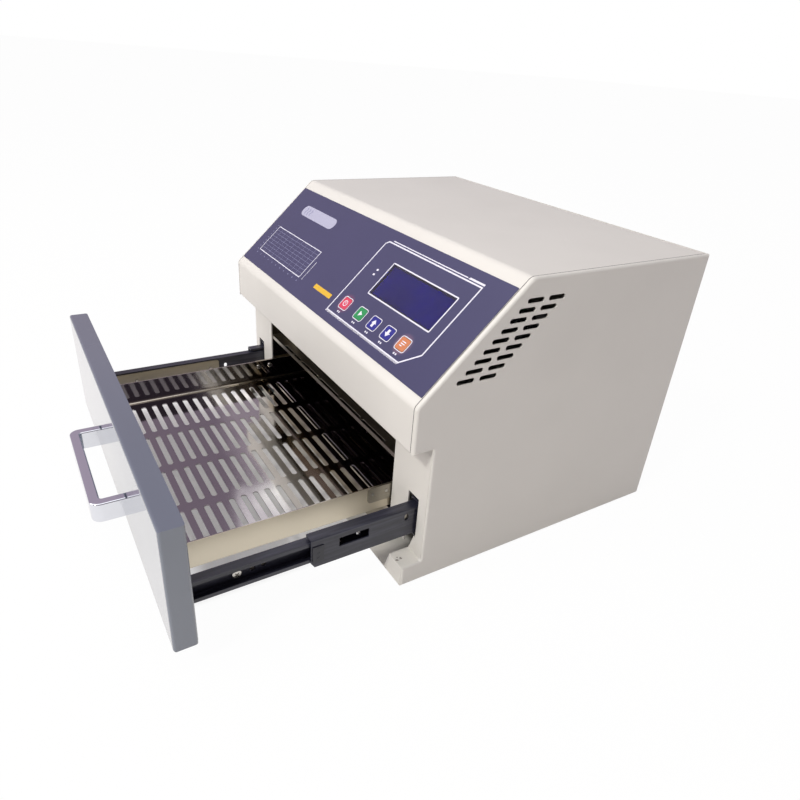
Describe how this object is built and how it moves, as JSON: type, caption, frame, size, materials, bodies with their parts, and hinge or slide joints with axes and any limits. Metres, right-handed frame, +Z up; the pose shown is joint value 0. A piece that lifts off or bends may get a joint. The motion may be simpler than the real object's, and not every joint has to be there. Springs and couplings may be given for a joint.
{
  "type": "reflow oven",
  "caption": "Bench-top reflow oven: sloping control face over a pull-out slotted tray drawer on ball-bearing slides, heated from above by quartz tubes.",
  "frame": {"origin": "centre of the casing footprint on the surface it stands on", "axes": "+X to the right of a person facing the drawer, +Y to the back, +Z up; the drawer opens towards -Y"},
  "size_m": [0.37, 0.496, 0.248],
  "materials": {
    "casing_paint": "fine-textured warm off-white powder coat, satin",
    "drawer_paint": "smooth blue-grey paint, semi-gloss",
    "zinc_sheet": "bright zinc-plated sheet",
    "zinc_screw": "bright zinc plate",
    "polished_steel": "mirror-polished stainless sheet",
    "brushed_steel": "brushed stainless sheet",
    "chrome": "bright chrome plate",
    "quartz": "frosted quartz",
    "ceramic": "matte steatite",
    "insulation": "matte ceramic fibre felt",
    "black_plastic": "moulded black, matte",
    "bumper_plastic": "moulded dark grey, satin",
    "rocker_red": "moulded red, gloss",
    "overlay_film": "printed dark blue-violet polyester film, satin",
    "display_glass": "clear blue-tinted window",
    "display_module": "blue liquid-crystal module in a dark bezel",
    "circuit_board": "green solder mask",
    "brass": "turned brass",
    "key_red": "printed red, satin",
    "key_green": "printed green, satin",
    "key_blue": "printed blue, satin",
    "key_orange": "printed orange, satin",
    "heat_sink": "extruded aluminium, bead-blasted",
    "wire_sleeve": "silicone-sleeved wire",
    "slide_black": "black electrophoretic coat, satin"
  },
  "bodies": {
    "casing": {"base_pan": "casing_paint", "board_standoffs": "brass", "casing_screws": "zinc_screw", "chamber_shell": "polished_steel", "control_board": "circuit_board", "control_overlay": "overlay_film", "display_module": "display_module", "display_window": "display_glass", "electronics_deck": "zinc_sheet", "fan_frame": "black_plastic", "fan_guard": "chrome", "fuse_holder": "black_plastic", "heater_caps": "ceramic", "heater_guard": "polished_steel", "heater_reflector": "polished_steel", "heater_tubes": "quartz", "key_switches": "black_plastic", "mains_inlet": "black_plastic", "power_board": "circuit_board", "rear_panel": "casing_paint", "relay_block": "heat_sink", "side_insulation": "insulation", "side_panel_left": "casing_paint", "side_panel_right": "casing_paint", "slide_carrier_left": "zinc_sheet", "slide_carrier_right": "zinc_sheet", "slide_outer_left": "slide_black", "slide_outer_right": "slide_black", "switch_housing": "black_plastic", "thermocouple": "brushed_steel", "top_cover": "casing_paint", "top_insulation": "insulation", "wiring_loom": "wire_sleeve"},
    "drawer": {"drawer_skin": "drawer_paint", "drawer_insulation": "insulation", "drawer_back_plate": "drawer_paint", "handle": "chrome", "tray": "polished_steel", "tray_brackets": "brushed_steel", "slide_brackets": "brushed_steel", "drawer_screws": "zinc_screw", "slide_inner_right": "slide_black", "slide_inner_left": "slide_black"},
    "slide_middle_right": {"slide_middle_right": "slide_black", "middle_bumper_right": "bumper_plastic"},
    "slide_middle_left": {"slide_middle_left": "slide_black", "middle_bumper_left": "bumper_plastic"},
    "outer_retainer_right": {"outer_retainer_right": "brushed_steel"},
    "outer_retainer_left": {"outer_retainer_left": "brushed_steel"},
    "inner_retainer_right": {"inner_retainer_right": "brushed_steel"},
    "inner_retainer_left": {"inner_retainer_left": "brushed_steel"},
    "release_lever_right": {"release_lever_right": "bumper_plastic"},
    "release_lever_left": {"release_lever_left": "bumper_plastic"},
    "fan_rotor": {"fan_rotor": "black_plastic"},
    "switch_rocker": {"switch_rocker": "rocker_red"},
    "key_power": {"key_power": "key_red"},
    "key_run": {"key_run": "key_green"},
    "key_up": {"key_up": "key_blue"},
    "key_down": {"key_down": "key_blue"},
    "key_set": {"key_set": "key_orange"}
  },
  "joints": [
    {"name": "drawer_slide", "type": "slide", "parent": "casing", "child": "drawer", "axis": [0, -1, 0], "range_m": [-0.176, 0.054]},
    {"name": "slide_middle_right_slide", "type": "slide", "parent": "casing", "child": "slide_middle_right", "axis": [0, -1, 0], "range_m": [-0.09064, 0.02781]},
    {"name": "slide_middle_left_slide", "type": "slide", "parent": "casing", "child": "slide_middle_left", "axis": [0, -1, 0], "range_m": [-0.01584, 0.00486]},
    {"name": "outer_retainer_right_slide", "type": "slide", "parent": "casing", "child": "outer_retainer_right", "axis": [0, -1, 0], "range_m": [-0.04532, 0.01391]},
    {"name": "outer_retainer_left_slide", "type": "slide", "parent": "casing", "child": "outer_retainer_left", "axis": [0, -1, 0], "range_m": [-0.00792, 0.00243]},
    {"name": "inner_retainer_right_slide", "type": "slide", "parent": "casing", "child": "inner_retainer_right", "axis": [0, -1, 0], "range_m": [-0.13332, 0.04091]},
    {"name": "inner_retainer_left_slide", "type": "slide", "parent": "casing", "child": "inner_retainer_left", "axis": [0, -1, 0], "range_m": [-0.09592, 0.02943]},
    {"name": "release_lever_right_hinge", "type": "hinge", "parent": "drawer", "child": "release_lever_right", "pos_m": [0.1638, -0.1255, 0.0516], "axis": [1, 0, 0], "range_deg": [-4, 4], "stiffness_Nm_per_rad": 0.02},
    {"name": "release_lever_left_hinge", "type": "hinge", "parent": "drawer", "child": "release_lever_left", "pos_m": [-0.1638, -0.1255, 0.0516], "axis": [1, 0, 0], "range_deg": [-4, 4], "stiffness_Nm_per_rad": 0.02},
    {"name": "key_power_press", "type": "slide", "parent": "casing", "child": "key_power", "axis": [0, 0.6884, -0.7253], "range_m": [0, 0.0005], "stiffness_N_per_m": 2000},
    {"name": "key_run_press", "type": "slide", "parent": "casing", "child": "key_run", "axis": [0, 0.6884, -0.7253], "range_m": [0, 0.0005], "stiffness_N_per_m": 2000},
    {"name": "key_up_press", "type": "slide", "parent": "casing", "child": "key_up", "axis": [0, 0.6884, -0.7253], "range_m": [0, 0.0005], "stiffness_N_per_m": 2000},
    {"name": "key_down_press", "type": "slide", "parent": "casing", "child": "key_down", "axis": [0, 0.6884, -0.7253], "range_m": [0, 0.0005], "stiffness_N_per_m": 2000},
    {"name": "key_set_press", "type": "slide", "parent": "casing", "child": "key_set", "axis": [0, 0.6884, -0.7253], "range_m": [0, 0.0005], "stiffness_N_per_m": 2000},
    {"name": "fan_spin", "type": "hinge", "parent": "casing", "child": "fan_rotor", "pos_m": [0, 0.1365, 0.078], "axis": [0, 1, 0], "continuous": true},
    {"name": "switch_rock", "type": "hinge", "parent": "casing", "child": "switch_rocker", "pos_m": [-0.072, 0.1405, 0.19], "axis": [1, 0, 0], "range_deg": [0, 18]}
  ],
  "couplings": [
    {"joint": "slide_middle_right_slide", "follows": "drawer_slide", "ratio": 0.515},
    {"joint": "slide_middle_left_slide", "follows": "drawer_slide", "ratio": 0.09},
    {"joint": "outer_retainer_right_slide", "follows": "drawer_slide", "ratio": 0.2575},
    {"joint": "outer_retainer_left_slide", "follows": "drawer_slide", "ratio": 0.045},
    {"joint": "inner_retainer_right_slide", "follows": "drawer_slide", "ratio": 0.7575},
    {"joint": "inner_retainer_left_slide", "follows": "drawer_slide", "ratio": 0.545}
  ]
}
